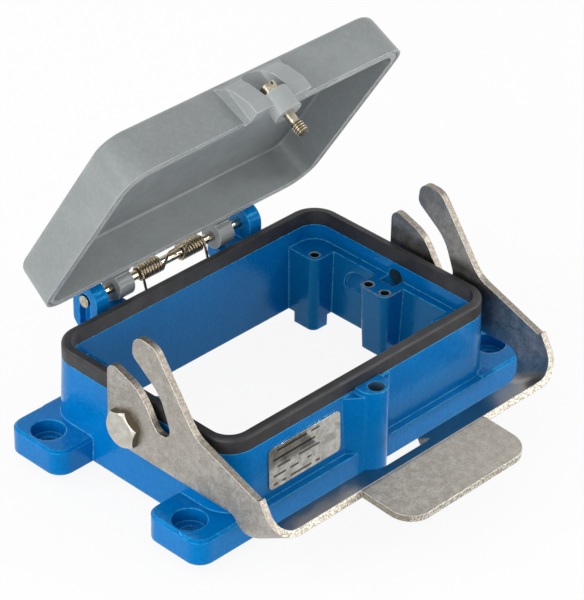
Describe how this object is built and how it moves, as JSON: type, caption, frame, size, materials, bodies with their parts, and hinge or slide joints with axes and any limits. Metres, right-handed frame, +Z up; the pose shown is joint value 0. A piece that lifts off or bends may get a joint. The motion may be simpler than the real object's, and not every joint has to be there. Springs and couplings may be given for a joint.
{
  "type": "rectangular connector housing",
  "caption": "Bulkhead-mounting housing for heavy duty rectangular connector inserts, with rim gasket, sprung hinged cover and U-shaped locking lever.",
  "frame": {"origin": "centre of the housing's four mounting holes, on the mounting plane under its feet", "axes": "+X along the housing's long side, +Y towards the cover's hinge, +Z up from the mounting plane"},
  "size_m": [0.1636, 0.1549, 0.1353],
  "materials": {
    "blue_paint": "glossy, faint orange peel",
    "grey_paint": "satin",
    "gasket_rubber": "matte",
    "lever_steel": "tumbled satin",
    "fastener_steel": "bright",
    "spring_steel": "bright drawn wire",
    "plate_silver": "satin"
  },
  "bodies": {
    "housing_body": {"housing": "blue_paint", "rim_gasket": "gasket_rubber", "panel_gasket": "gasket_rubber", "hinge_pin": "fastener_steel", "cover_spring": "spring_steel", "left_pivot_bolt": "fastener_steel", "right_pivot_bolt": "fastener_steel", "left_lever_washer": "fastener_steel", "right_lever_washer": "fastener_steel", "rating_plate": "plate_silver"},
    "cover_body": {"cover": "grey_paint"},
    "cover_screw_body": {"cover_screw": "fastener_steel"},
    "lever_body": {"locking_lever": "lever_steel"}
  },
  "joints": [
    {"name": "cover_hinge", "type": "hinge", "parent": "housing_body", "child": "cover_body", "pos_m": [0, 0.0528, 0.0385], "axis": [-1, 0, 0], "range_deg": [-57.5, 45], "stiffness_Nm_per_rad": 0.25, "springref_deg": 9.74, "deforming": ["cover_spring"]},
    {"name": "cover_screw_turn", "type": "hinge", "parent": "cover_body", "child": "cover_screw_body", "pos_m": [0, 0.00248, 0.12679], "axis": [0, 0.8434, 0.5373], "continuous": true},
    {"name": "lever_pivot", "type": "hinge", "parent": "housing_body", "child": "lever_body", "pos_m": [0, 0, 0.027], "axis": [-1, 0, 0], "range_deg": [0, 60]}
  ]
}
